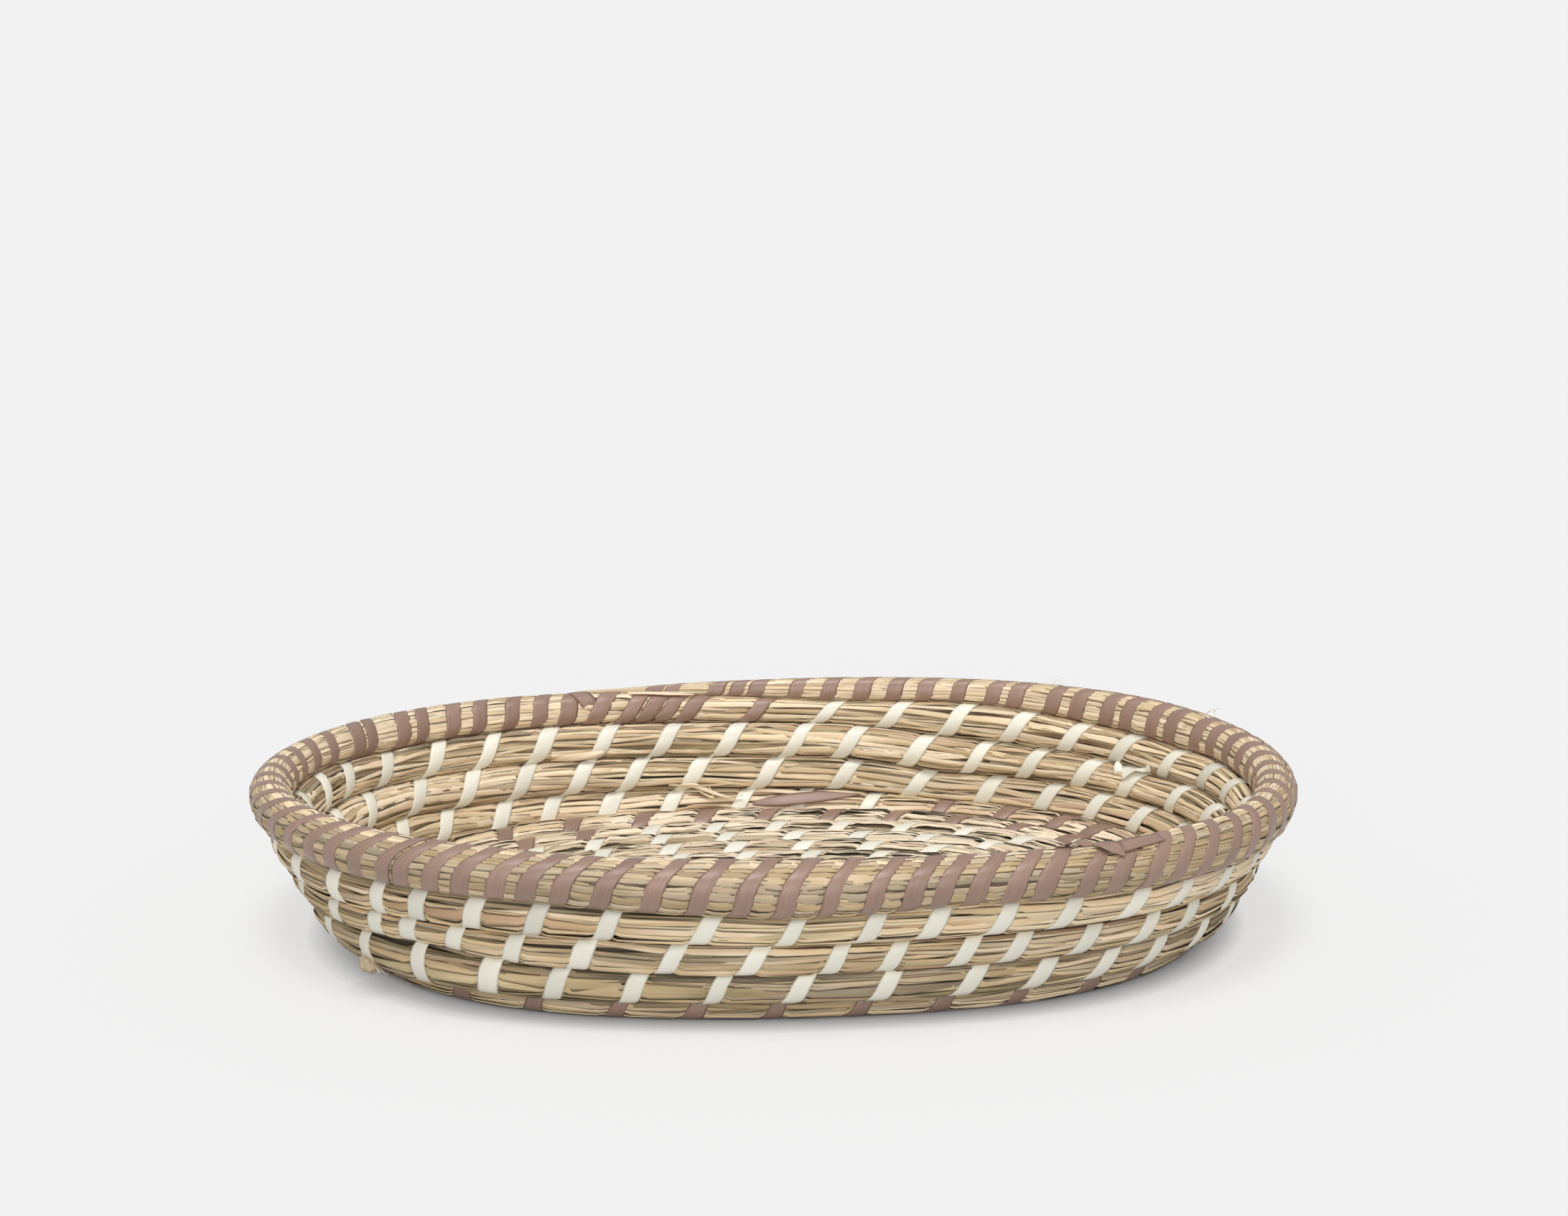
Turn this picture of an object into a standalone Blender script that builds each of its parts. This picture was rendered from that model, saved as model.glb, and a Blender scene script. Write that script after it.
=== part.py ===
"""Oval coiled basket: one long bundle of dried grass, coiled on its edge and sewn with flat strips.

The bundle starts as a straight core, folds back on itself and runs round it counter-clockwise, seen from
above. Eight rows lie flat and make the floor, four climb the flaring wall, and the last row is the rim. It
thins to nothing at the back. The strips are wound round the bundle. Metres, +Z up, +X along the oval, the
origin under the middle of the rim, on the surface that the basket stands on.
"""

import math

import bmesh
import bpy
import numpy as np
from mathutils import Vector

mm = 0.001

# Driving sizes: the oval of the rim's centre line and of the base, and how the rows lie
rim_half_width = 125.1 * mm
rim_stretch = 57.4 * mm
base_stretch = 47.0 * mm
rim_centre_x = 0.3 * mm
rim_centre_y = 2.8 * mm
base_centre_x = -0.4 * mm
base_centre_y = 3.3 * mm
floor_rows = 8
wall_rows = 4
floor_pitch = 12.4 * mm
base_row_extra = 1.5 * mm
corner_pitch = 16.0 * mm
wall_pitch = 13.5 * mm
oval_sharpness = 2.0
core_sharpness = 1.5
core_reach = 50.0 * mm
corner_rows = 1.1
least_lean = math.radians(20)
most_lean = math.radians(100)
lean_tries = 30
profile_steps = 24

# The bundle: half its size across the corners, its flat underside and the clearances round it
bundle_radius = 6.5 * mm
floor_bundle_radius = 5.7 * mm
bundle_sides = 6
underside_depth_share = 0.1
points_per_turn = 22
fine_points = 3601
row_start = math.radians(104)
row_end = row_start + 2 * math.pi
end_gap = 0.3 * mm
least_gap = 0.4 * mm
core_fold_short = 4.0 * mm
core_tail_short = 1.5 * mm
core_steps = 6
fold_steps = 4
fold_pinch_share = 0.8
weld_distance = 0.001 * mm
shading_angle = math.radians(35)

# Where round the oval the rows move on: floor rows outward, wall rows up onto the row before
floor_climb_start = math.radians(270)
floor_climb_end = math.radians(450)
early_climb_share = 0.2
early_climb_start = math.radians(180)
early_climb_span = math.radians(120)
late_climb_start = math.radians(306)
late_climb_span = math.radians(54)

# The rim's centre line stands a little higher at some places round the oval than at others
rim_height = 52.4 * mm
back_drop = 1.1 * mm
ends_drop = 0.4 * mm
corner_lift = 1.8 * mm

# The rows are uneven, as hand-sewn rows are: the upper edge of each row past the floor rows, as degrees
# round the oval from where the row starts, and rows above the base row. The last row is the rim: it is
# thick at the front and thins to nothing at the back, where the rows below it climb by a whole row.
row_edges = {
    8: ((104, 0.50), (122, 0.52), (140, 0.70), (300, 0.75), (415, 0.74), (428, 0.82), (442, 1.15),
        (464, 1.32)),
    9: ((104, 1.32), (128, 1.42), (140, 1.53), (205, 1.60), (230, 1.83), (243, 1.62), (269, 1.48),
        (282, 1.58), (345, 1.62), (398, 1.53), (430, 1.63), (442, 2.02), (464, 2.29)),
    10: ((104, 2.29), (134, 2.48), (153, 2.62), (210, 2.50), (232, 2.58), (250, 2.53), (269, 2.37),
         (281, 2.50), (317, 2.58), (382, 2.50), (393, 2.38), (415, 2.53), (430, 2.70), (442, 3.07),
         (464, 3.32)),
    11: ((104, 3.32), (112, 3.40), (138, 3.47), (157, 3.64), (215, 3.58), (247, 3.55), (269, 3.27),
         (283, 3.52), (305, 3.53), (381, 3.42), (391, 3.32), (411, 3.44), (428, 3.72), (442, 3.75),
         (453, 3.98), (464, 4.30)),
    12: ((104, 4.30), (115, 4.40), (140, 4.54), (180, 4.67), (240, 4.74), (255, 4.67), (270, 4.72),
         (312, 4.80), (340, 4.65), (385, 4.43), (415, 4.40), (448, 4.47), (464, 4.60)),
}

# The sewing strips
strip_width = 8.0 * mm
strip_thickness = 0.45 * mm
crown_thickness = 0.55 * mm
strip_clearance = 0.3 * mm
strip_margin = 0.3 * mm
first_sewn_row = 4
most_round_share = 0.95
least_drop = 0.01 * mm

# Cutter that levels the underside
cutter_overrun = 20.0 * mm

half_corner = math.pi / bundle_sides
wall_turn = math.radians(12)
row_gap = wall_pitch - 2 * bundle_radius * math.cos(half_corner)
row_rise = floor_bundle_radius * (1 - 2 * underside_depth_share)
coil_underside = strip_thickness + strip_clearance
floor_height = coil_underside + row_rise

STRAW = (0.52, 0.41, 0.22)
CREAM = (0.66, 0.55, 0.35)
MAUVE = (0.36, 0.21, 0.18)


def clear_scene():
    for item in list(bpy.data.objects):
        bpy.data.objects.remove(item)


def collection(name):
    group = bpy.data.collections.new(name)
    bpy.context.scene.collection.children.link(group)
    return group


def material(name, colour, roughness):
    finish = bpy.data.materials.new(name)
    finish.use_nodes = True
    shader = finish.node_tree.nodes["Principled BSDF"]
    shader.inputs["Base Color"].default_value = (*colour, 1)
    shader.inputs["Roughness"].default_value = roughness
    shader.inputs["Metallic"].default_value = 0
    return finish


def smooth(value):
    value = min(max(value, 0), 1)
    return value * value * (3 - 2 * value)


def oval(angle, half_width, stretch):
    """A point of an oval: a circle drawn out along X by the stretch at both ends."""
    sharpness = oval_sharpness + core_sharpness * (1 - smooth(half_width / core_reach))
    pull = math.tanh(sharpness * math.cos(angle)) / math.tanh(sharpness)
    return Vector((half_width * math.cos(angle) + stretch * pull, half_width * math.sin(angle), 0))


def row_angles():
    """The angles of one turn's points, evenly apart along the wall, from where each row starts."""
    fine = np.linspace(row_start, row_end, fine_points)
    line = np.array([oval(a, rim_half_width, rim_stretch) for a in fine])
    run = np.concatenate([[0], np.cumsum(np.linalg.norm(np.diff(line, axis=0), axis=1))])
    return np.interp(np.linspace(0, run[-1], points_per_turn + 1), run, fine)


def floor_climb(angle):
    """How far a floor row has moved out towards the next one: all of it round the right-hand end."""
    turned = (angle - row_start) % (2 * math.pi) + row_start
    if turned < floor_climb_start:
        return 0.0
    if turned > floor_climb_end:
        return 1.0
    return (1 + math.sin(turned)) / 2


def wall_climb(angle):
    """How far a wall row has climbed onto the next: a little round the right, the rest at the back."""
    turned = (angle - row_start) % (2 * math.pi)
    early = early_climb_share * smooth((turned - early_climb_start) / early_climb_span)
    late = (1 - early_climb_share) * smooth((turned - late_climb_start) / late_climb_span)
    return early + late


def profile(rows, lean):
    """The run and rise of the wall, a number of rows past the base row, for this lean of the wall."""
    run = rise = 0.0
    for step in range(profile_steps):
        at = rows * (step + 0.5) / profile_steps
        pitch = wall_pitch + (corner_pitch - wall_pitch) * (1 - smooth(at - 1))
        slope = lean * smooth(at / corner_rows)
        run += pitch * math.cos(slope) * rows / profile_steps
        rise += pitch * math.sin(slope) * rows / profile_steps
    return run, rise


def wall_slope(reach, height):
    """The lean at which the wall's rows reach the rim, this far out and up, and the rows' scale there."""
    low = least_lean
    high = most_lean
    for _ in range(lean_tries):
        middle = (low + high) / 2
        run, rise = profile(wall_rows, middle)
        if run * height > rise * reach:
            low = middle
        else:
            high = middle
    return middle, height / rise


def rim_level(angle):
    """The height of the rim's centre line at this angle of the oval."""
    lift = corner_lift * math.sin(2 * angle) - ends_drop * math.cos(2 * angle)
    return rim_height + lift - back_drop * math.sin(angle)


def row_edge(row, angle):
    """The upper edge of a row at this angle, in rows past the base row."""
    degrees, edges = zip(*row_edges[row])
    return float(np.interp(math.degrees(angle), degrees, edges))


class Column:
    """The rows that lie over each other at one angle of the oval."""

    def __init__(self, angle, ends_row):
        self.angle = angle
        self.floor_share = 1.0 if ends_row else floor_climb(angle)
        self.climbed_share = 1.0 if ends_row else wall_climb(angle)
        rows_inside = floor_rows + self.floor_share - self.climbed_share
        self.corner = floor_pitch * rows_inside + base_row_extra
        self.foot = Vector((base_centre_x, base_centre_y, 0)) + oval(angle, self.corner, base_stretch)
        rim = Vector((rim_centre_x, rim_centre_y, 0)) + oval(angle, rim_half_width, rim_stretch)
        way = rim - self.foot
        self.out = way.normalized()
        self.lean, self.scale = wall_slope(way.length, rim_level(angle) - floor_height)

    def point(self, rows):
        """The bundle's centre, a number of rows past the base row; it is negative on the floor."""
        if rows < 0:
            run = floor_pitch * rows + base_row_extra * max(rows, -1)
            inner = oval(self.angle, self.corner + run, base_stretch)
            back = inner - oval(self.angle, self.corner, base_stretch)
            return self.foot + back + Vector((0, 0, floor_height))
        run, rise = profile(rows, self.lean)
        up = Vector((0, 0, floor_height + rise * self.scale))
        return self.foot + self.out * run * self.scale + up


def row_place(row, column):
    """Where a row's centre is at this angle, in rows past the base row, and its size in rows."""
    if row < floor_rows:
        return row - floor_rows + column.climbed_share, 1.0
    upper = row_edge(row, column.angle)
    if row > floor_rows:
        lower = row_edge(row - 1, column.angle)
        return (upper + lower) / 2, upper - lower
    lower = column.climbed_share - 0.5
    climbed = smooth(column.climbed_share)
    centre = column.climbed_share + ((upper + lower) / 2 - column.climbed_share) * climbed
    return centre, 1 + (upper - lower - 1) * climbed


def core_route():
    """The straight core and its fold: centre points of the bundle before its first whole row."""
    centre = Vector((base_centre_x, base_centre_y, floor_height))
    left = core_tail_short - base_stretch
    right = base_stretch - core_fold_short
    places = []
    for step in range(core_steps):
        places.append(Vector((left + (right - left) * step / core_steps, 0, 0)))
    fold_centre = Vector((right, floor_pitch / 2, 0))
    for step in range(fold_steps + 1):
        turn = math.pi * (step / fold_steps - 0.5)
        places.append(fold_centre + floor_pitch / 2 * Vector((math.cos(turn), math.sin(turn), 0)))
    return [centre + place for place in places]


def coil_route():
    """Centre points, radii, turns of the section about the route, and the row of each point."""
    angles = row_angles()
    columns = [Column(a, False) for a in angles[:-1]]
    last = Column(angles[-1], True)
    points = core_route()
    radii = [floor_bundle_radius] * core_steps
    radii += [floor_bundle_radius * fold_pinch_share] * (fold_steps + 1)
    turns = [0.0] * len(points)
    rows = [0] * len(points)
    fold_end = points[-1].x - 2 * floor_bundle_radius
    fold_end_angle = 2 * math.pi
    for row in range(floor_rows + wall_rows + 1):
        ends = row == floor_rows + wall_rows
        for column in columns + ([last] if ends else []):
            past, size = row_place(row, column)
            place = column.point(past)
            if row == 0 and (column.angle < fold_end_angle or place.x > fold_end):
                continue
            grown = smooth(past + 1)
            pitch = wall_pitch * (1 + (column.scale - 1) * smooth(past))
            thinned = (size * pitch - row_gap) / (wall_pitch - row_gap)
            points.append(place)
            whole = floor_bundle_radius + (bundle_radius - floor_bundle_radius) * grown
            radii.append(whole * thinned)
            turns.append(wall_turn * grown)
            rows.append(row)
    return points, radii, turns, rows


def bundle_curve(name, points, radii, turns, group):
    """The bundle as a tube: flat sides towards its neighbour rows, a corner up and one down."""
    curve = bpy.data.curves.new(name, "CURVE")
    curve.dimensions = "3D"
    curve.twist_mode = "Z_UP"
    curve.bevel_depth = bundle_radius
    curve.bevel_resolution = 1
    curve.use_fill_caps = True
    spline = curve.splines.new("POLY")
    spline.points.add(len(points) - 1)
    for knot, place, radius, turn in zip(spline.points, points, radii, turns):
        knot.co = (*place, 1)
        knot.radius = radius / bundle_radius
        knot.tilt = half_corner - turn
    item = bpy.data.objects.new(name, curve)
    group.objects.link(item)
    return item


def mesh_of(item):
    bpy.context.view_layer.update()
    graph = bpy.context.evaluated_depsgraph_get()
    return bpy.data.meshes.new_from_object(item.evaluated_get(graph))


def shade(item):
    item.data.shade_smooth()
    item.data.set_sharp_from_angle(angle=shading_angle)


def bundle(name, points, radii, turns, group, finish):
    """The tube as a mesh with its caps welded on."""
    curve = bundle_curve(name, points, radii, turns, group)
    mesh = mesh_of(curve)
    placed = curve.matrix_world.copy()
    bpy.data.objects.remove(curve)
    shape = bmesh.new()
    shape.from_mesh(mesh)
    bmesh.ops.remove_doubles(shape, verts=shape.verts, dist=weld_distance)
    bmesh.ops.recalc_face_normals(shape, faces=shape.faces)
    shape.to_mesh(mesh)
    shape.free()
    item = bpy.data.objects.new(name, mesh)
    item.matrix_world = placed
    item.data.materials.clear()
    item.data.materials.append(finish)
    group.objects.link(item)
    shade(item)
    return item


def section_rings(points, radii, turns, group):
    """The corners of the section at every point, in order round it from the lowest, outside first."""
    guide = bundle_curve("section_guide", points, radii, turns, group)
    mesh = mesh_of(guide)
    bpy.data.objects.remove(guide)
    count = len(points)
    corners = np.array([vertex.co for vertex in mesh.vertices])[-count * bundle_sides :]
    bpy.data.meshes.remove(mesh)
    rings = corners.reshape(count, bundle_sides, 3)
    centres = np.array(points)
    ahead = np.gradient(centres, axis=0)
    outward = np.stack([ahead[:, 1], -ahead[:, 0]], axis=1)
    outward /= np.linalg.norm(outward, axis=1, keepdims=True)
    for index in range(count):
        spread = rings[index] - centres[index]
        around = np.arctan2(spread[:, 2], spread[:, :2] @ outward[index]) - turns[index]
        order = np.argsort((around + math.pi / 2 + half_corner) % (2 * math.pi))
        rings[index] = rings[index][order]
    return centres, rings


def measured_gap(centres, rings):
    """The least gap of the bundle to itself, from points on its corners and sides to lines along it."""
    middles = (rings + np.roll(rings, -1, axis=1)) / 2
    lines = np.concatenate([rings, middles], axis=1)
    between = (lines[1:] + lines[:-1]) / 2
    starts, ends = lines[:-1], lines[1:]
    least = math.inf
    for index in range(len(between)):
        later = slice(index + points_per_turn // 4, index + 2 * points_per_turn)
        for place in np.concatenate([lines[index], between[index]]):
            a = starts[later].reshape(-1, 3)
            along = ends[later].reshape(-1, 3) - a
            if not len(a):
                continue
            share = np.clip(((place - a) * along).sum(axis=1) / (along * along).sum(axis=1), 0, 1)
            least = min(least, np.linalg.norm(a + share[:, None] * along - place, axis=1).min())
    return least


class Winding:
    """Finds places on the bundle: a distance along it, at one of its corners, a little off it."""

    def __init__(self, centres, rings, radii):
        self.centres = centres
        self.rings = rings
        self.radii = np.array(radii)
        steps = np.linalg.norm(np.diff(centres, axis=0), axis=1)
        self.run = np.concatenate([[0], np.cumsum(steps)])

    def place(self, along, corner, off):
        """The corner's place; off is measured square to the bundle's flat sides."""
        found = np.searchsorted(self.run, along, side="right") - 1
        index = int(np.clip(found, 0, len(self.run) - 2))
        share = (along - self.run[index]) / (self.run[index + 1] - self.run[index])
        ends = []
        for ring in (index, index + 1):
            spread = self.rings[ring][corner] - self.centres[ring]
            grown = 1 + off / math.cos(half_corner) / self.radii[ring]
            ends.append(self.centres[ring] + spread * grown)
        return Vector(ends[0] + (ends[1] - ends[0]) * share)

    def level(self, along, corner, off, height):
        """A place on the side between this corner and the lowest, where it comes down to this height."""
        upper = self.place(along, corner, off)
        lowest = self.place(along, 0, off)
        share = (upper.z - height) / max(upper.z - lowest.z, least_drop)
        return upper.lerp(lowest, min(share, most_round_share))


def wraps_per_step(row):
    """Wraps of the strip between two of the bundle's points."""
    if row < floor_rows - 1:
        return 1
    return 3 if row == floor_rows + wall_rows else 2


def strip_sections(winding, steps, row, flat):
    """Cross-sections of one strip, wound on over these steps of the bundle: up outside, down inside.

    A flat strip has four corners, a crowned one three. On the floor it runs level under the bundle.
    """
    sections = []
    thickness = strip_thickness if flat else crown_thickness
    half = strip_width / 2
    on_floor = row <= floor_rows
    for step in steps:
        length = winding.run[step + 1] - winding.run[step]
        wraps = wraps_per_step(row)
        lean = length / wraps - strip_width - 2 * strip_margin
        for wrap in range(wraps):
            start = winding.run[step] + half + strip_margin + wrap * length / wraps
            stations = []
            for corner in range(bundle_sides):
                stations.append((start + lean * corner / (bundle_sides - 1), corner))
            stations.append((start + lean + half + strip_margin, None))
            for along, corner in stations:
                if corner is None and not on_floor:
                    continue
                places = []
                inner = strip_clearance
                outer = strip_clearance + thickness
                for shift, off in section_corners(flat, half, inner, outer):
                    at = along + shift
                    under = strip_thickness if off == inner else 0
                    if on_floor and corner == 0:
                        places.append(winding.level(at, 1, off, under))
                    elif corner is None:
                        places.append(winding.level(at, bundle_sides - 1, off, under))
                    else:
                        places.append(winding.place(at, corner, off))
                sections.append(places)
    if on_floor:
        sections.pop()
    return sections


def section_corners(flat, half, inner, outer):
    if flat:
        return [(-half, inner), (half, inner), (half, outer), (-half, outer)]
    return [(-half, inner), (half, inner), (0, outer)]


def strip(name, sections, group, finish):
    """One long strip, lofted through its cross-sections."""
    shape = bmesh.new()
    loops = [[shape.verts.new(place) for place in section] for section in sections]
    for near, far in zip(loops, loops[1:]):
        for index in range(len(near)):
            following = (index + 1) % len(near)
            shape.faces.new((far[index], far[following], near[following], near[index]))
    shape.faces.new(loops[0])
    shape.faces.new(list(reversed(loops[-1])))
    bmesh.ops.triangulate(shape, faces=shape.faces)
    mesh = bpy.data.meshes.new(name)
    shape.to_mesh(mesh)
    shape.free()
    item = bpy.data.objects.new(name, mesh)
    mesh.materials.append(finish)
    group.objects.link(item)
    shade(item)
    return item


def split_route(points, radii, turns, rows, first, last):
    """The points of these rows, with ends half way between two points, so that two ends are parallel."""
    inside = [index for index, row in enumerate(rows) if first <= row <= last]
    low, high = inside[0], inside[-1]
    route = [points[index] for index in inside]
    sizes = [radii[index] for index in inside]
    rolled = [turns[index] for index in inside]
    if low > 0:
        way = points[low] - points[low - 1]
        route.insert(0, (points[low] + points[low - 1]) / 2 + way.normalized() * end_gap / 2)
        sizes.insert(0, (radii[low] + radii[low - 1]) / 2)
        rolled.insert(0, (turns[low] + turns[low - 1]) / 2)
    if high < len(points) - 1:
        way = points[high + 1] - points[high]
        route.append((points[high] + points[high + 1]) / 2 - way.normalized() * end_gap / 2)
        sizes.append((radii[high] + radii[high + 1]) / 2)
        rolled.append((turns[high] + turns[high + 1]) / 2)
    return route, sizes, rolled


def underside_cutter(group):
    """A slab whose top is where the bundle's underside is pressed flat on its strips."""
    reach = 2 * (rim_half_width + rim_stretch) + cutter_overrun
    bpy.ops.mesh.primitive_cube_add(size=1)
    item = bpy.context.object
    item.name = "underside_cutter"
    for vertex in item.data.vertices:
        vertex.co.x *= reach
        vertex.co.y *= reach
        vertex.co.z = coil_underside if vertex.co.z > 0 else -cutter_overrun
    for owner in list(item.users_collection):
        owner.objects.unlink(item)
    group.objects.link(item)
    item.hide_render = True
    item.display_type = "WIRE"
    return item


def level_underside(item, cutter):
    cut = item.modifiers.new("level_underside", "BOOLEAN")
    cut.operation = "DIFFERENCE"
    cut.solver = "EXACT"
    cut.object = cutter


def build():
    clear_scene()
    parts = collection("oval_coiled_basket")
    cutters = collection("cutters")
    straw = material("dried_grass", STRAW, 0.62)
    cream = material("cream_strip", CREAM, 0.42)
    mauve = material("mauve_strip", MAUVE, 0.42)

    points, radii, turns, rows = coil_route()
    centres, rings = section_rings(points, radii, turns, parts)
    gap = measured_gap(centres, rings)
    print(f"least gap of the bundle to itself: {gap / mm:.2f} mm, wanted over {least_gap / mm:.2f} mm")

    last_floor = floor_rows - 1
    last_wall = floor_rows + wall_rows - 1
    cutter = underside_cutter(cutters)
    rim_row = last_wall + 1
    spans = (
        ("floor_coil", 0, last_floor),
        ("wall_coil", floor_rows, last_wall),
        ("rim_coil", rim_row, rim_row),
    )
    for name, first, last in spans:
        route = split_route(points, radii, turns, rows, first, last)
        item = bundle(name, *route, parts, straw)
        if first <= floor_rows:
            level_underside(item, cutter)

    winding = Winding(centres, rings, radii)
    for row in range(first_sewn_row, rim_row + 1):
        steps = [index for index, own in enumerate(rows[:-1]) if own == row]
        flat = row == floor_rows
        if row < last_floor:
            name, finish = f"floor_strip_{row - first_sewn_row + 1}", cream
        elif row == last_floor:
            name, finish = "floor_strip_mauve", mauve
        elif row == floor_rows:
            name, finish = "base_strip_mauve", mauve
        elif row <= last_wall:
            name, finish = f"wall_strip_{row - floor_rows}", cream
        else:
            name, finish = "rim_strip_mauve", mauve
        strip(name, strip_sections(winding, steps, row, flat), parts, finish)


build()
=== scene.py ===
import math

import bpy
import numpy as np
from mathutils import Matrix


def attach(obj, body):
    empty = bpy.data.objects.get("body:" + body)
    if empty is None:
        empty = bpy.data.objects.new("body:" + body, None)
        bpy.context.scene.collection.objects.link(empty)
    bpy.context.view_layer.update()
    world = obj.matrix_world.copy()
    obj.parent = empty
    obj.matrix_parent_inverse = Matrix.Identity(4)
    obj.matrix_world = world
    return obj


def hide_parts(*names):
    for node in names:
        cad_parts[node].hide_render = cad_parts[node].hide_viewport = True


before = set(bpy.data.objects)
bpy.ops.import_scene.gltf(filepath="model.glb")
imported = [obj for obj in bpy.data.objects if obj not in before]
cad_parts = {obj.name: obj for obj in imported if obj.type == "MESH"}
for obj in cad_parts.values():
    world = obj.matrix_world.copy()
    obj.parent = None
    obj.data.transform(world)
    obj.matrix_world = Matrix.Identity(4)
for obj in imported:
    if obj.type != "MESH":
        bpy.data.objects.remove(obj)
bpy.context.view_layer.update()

bpy.ops.object.select_all(action="DESELECT")

# The coil. The basket is one long bundle of dried grass: a straight core, folded back on itself, then
# eight flat rows, four rows up the flaring wall and a last row that is the rim, thick at the front and
# thinning to nothing at the back. These are the lines that the maker's hands followed.

mm = 0.001
rim_half_width = 125.1 * mm
rim_stretch = 57.4 * mm
base_stretch = 47.0 * mm
rim_centre = np.array([0.3, 2.8, 0]) * mm
base_centre = np.array([-0.4, 3.3, 0]) * mm
floor_rows = 8
wall_rows = 4
rim_row = floor_rows + wall_rows
floor_pitch = 12.4 * mm
base_row_extra = 1.5 * mm
corner_pitch = 16.0 * mm
wall_pitch = 13.5 * mm
oval_sharpness = 2.0
core_sharpness = 1.5
core_reach = 50.0 * mm
corner_rows = 1.1
profile_steps = 24
bundle_radius = 6.5 * mm
floor_bundle_radius = 5.7 * mm
row_gap = wall_pitch - 2 * bundle_radius * math.cos(math.pi / 6)
floor_height = 5.31 * mm
row_start = math.radians(104)
rim_height = 52.4 * mm
back_drop = 1.1 * mm
ends_drop = 0.4 * mm
corner_lift = 1.8 * mm
least_radius = 0.7 * mm
row_overlap = 0.2 * mm
corner_overlap = 0.6 * mm
samples_per_row = 720
core_samples = 60
fold_samples = 30
core_tail_short = 1.5 * mm
core_fold_short = 4 * mm
fold_height_share = 0.64
early_climb_share = 0.2
early_climb = math.radians(120)
late_climb_start = math.radians(306)
late_climb = math.radians(54)
flattest_lean = math.radians(20)
steepest_lean = math.radians(100)
lean_tries = 30
corner_overlap_row = 0.8
corner_overlap_reach = 1.4
blur_reach = 9
blur_spread = 4.0
end_overrun = 24 * mm
end_size = 0.08
bed_share = 0.985
over_crown = 0.1 * mm
roundness = 0.88

# The upper edge of each row past the floor: degrees round the oval, rows above the base row
row_edges = {
    8: ((104, 0.50), (122, 0.52), (140, 0.70), (300, 0.75), (415, 0.74), (428, 0.82), (442, 1.15),
        (464, 1.32)),
    9: ((104, 1.32), (128, 1.42), (140, 1.53), (205, 1.60), (230, 1.83), (243, 1.62), (269, 1.48),
        (282, 1.58), (345, 1.62), (398, 1.53), (430, 1.63), (442, 2.02), (464, 2.29)),
    10: ((104, 2.29), (134, 2.48), (153, 2.62), (210, 2.50), (232, 2.58), (250, 2.53), (269, 2.37),
         (281, 2.50), (317, 2.58), (382, 2.50), (393, 2.38), (415, 2.53), (430, 2.70), (442, 3.07),
         (464, 3.32)),
    11: ((104, 3.32), (112, 3.40), (138, 3.47), (157, 3.64), (215, 3.58), (247, 3.55), (269, 3.27),
         (283, 3.52), (305, 3.53), (381, 3.42), (391, 3.32), (411, 3.44), (428, 3.72), (442, 3.75),
         (453, 3.98), (464, 4.30)),
    12: ((104, 4.30), (115, 4.40), (140, 4.54), (180, 4.67), (240, 4.74), (255, 4.67), (270, 4.72),
         (312, 4.80), (340, 4.65), (385, 4.43), (415, 4.40), (440, 4.45), (455, 4.42), (464, 4.36)),
}


def smooth(value):
    """0 below 0, 1 above 1, and an easy rise between."""
    value = np.clip(value, 0, 1)
    return value * value * (3 - 2 * value)


def unit(ways):
    return ways / np.linalg.norm(ways, axis=-1, keepdims=True)


def oval(angle, half_width, stretch):
    """Places on a long oval, which is a circle of this half width pulled apart along X."""
    sharpness = oval_sharpness + core_sharpness * (1 - smooth(half_width / core_reach))
    pull = np.tanh(sharpness * np.cos(angle)) / np.tanh(sharpness)
    across = half_width * np.cos(angle) + stretch * pull
    return np.stack([across, half_width * np.sin(angle), 0 * across], axis=-1)


def profile(rows, lean):
    """The run and rise of the wall, a number of rows past the base row."""
    run = rise = 0
    for step in range(profile_steps):
        at = rows * (step + 0.5) / profile_steps
        pitch = wall_pitch + (corner_pitch - wall_pitch) * (1 - smooth(at - 1))
        slope = lean * smooth(at / corner_rows)
        run = run + pitch * np.cos(slope) * rows / profile_steps
        rise = rise + pitch * np.sin(slope) * rows / profile_steps
    return run, rise


angles = row_start + np.linspace(0, 2 * math.pi, samples_per_row + 1)
turned = angles - row_start
floor_share = np.where(angles > 2.5 * math.pi, 1, (1 + np.sin(angles)) / 2)
floor_share = np.where(angles < 1.5 * math.pi, 0, floor_share)
climbed = early_climb_share * smooth((turned - math.pi) / early_climb)
climbed = climbed + (1 - early_climb_share) * smooth((turned - late_climb_start) / late_climb)
corner = floor_pitch * (floor_rows + floor_share - climbed) + base_row_extra
foot = base_centre + oval(angles, corner, base_stretch)
way = rim_centre + oval(angles, rim_half_width + 0 * angles, rim_stretch) - foot
reach = np.linalg.norm(way, axis=1)
out = way / reach[:, None]
lift = corner_lift * np.sin(2 * angles) - ends_drop * np.cos(2 * angles)
height = rim_height + lift - back_drop * np.sin(angles) - floor_height
low = np.full(len(angles), flattest_lean)
high = np.full(len(angles), steepest_lean)
for _ in range(lean_tries):
    middle = (low + high) / 2
    run, rise = profile(wall_rows, middle)
    steeper = run * height > rise * reach
    low = np.where(steeper, middle, low)
    high = np.where(steeper, high, middle)
lean = middle
scale = height / rise


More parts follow.
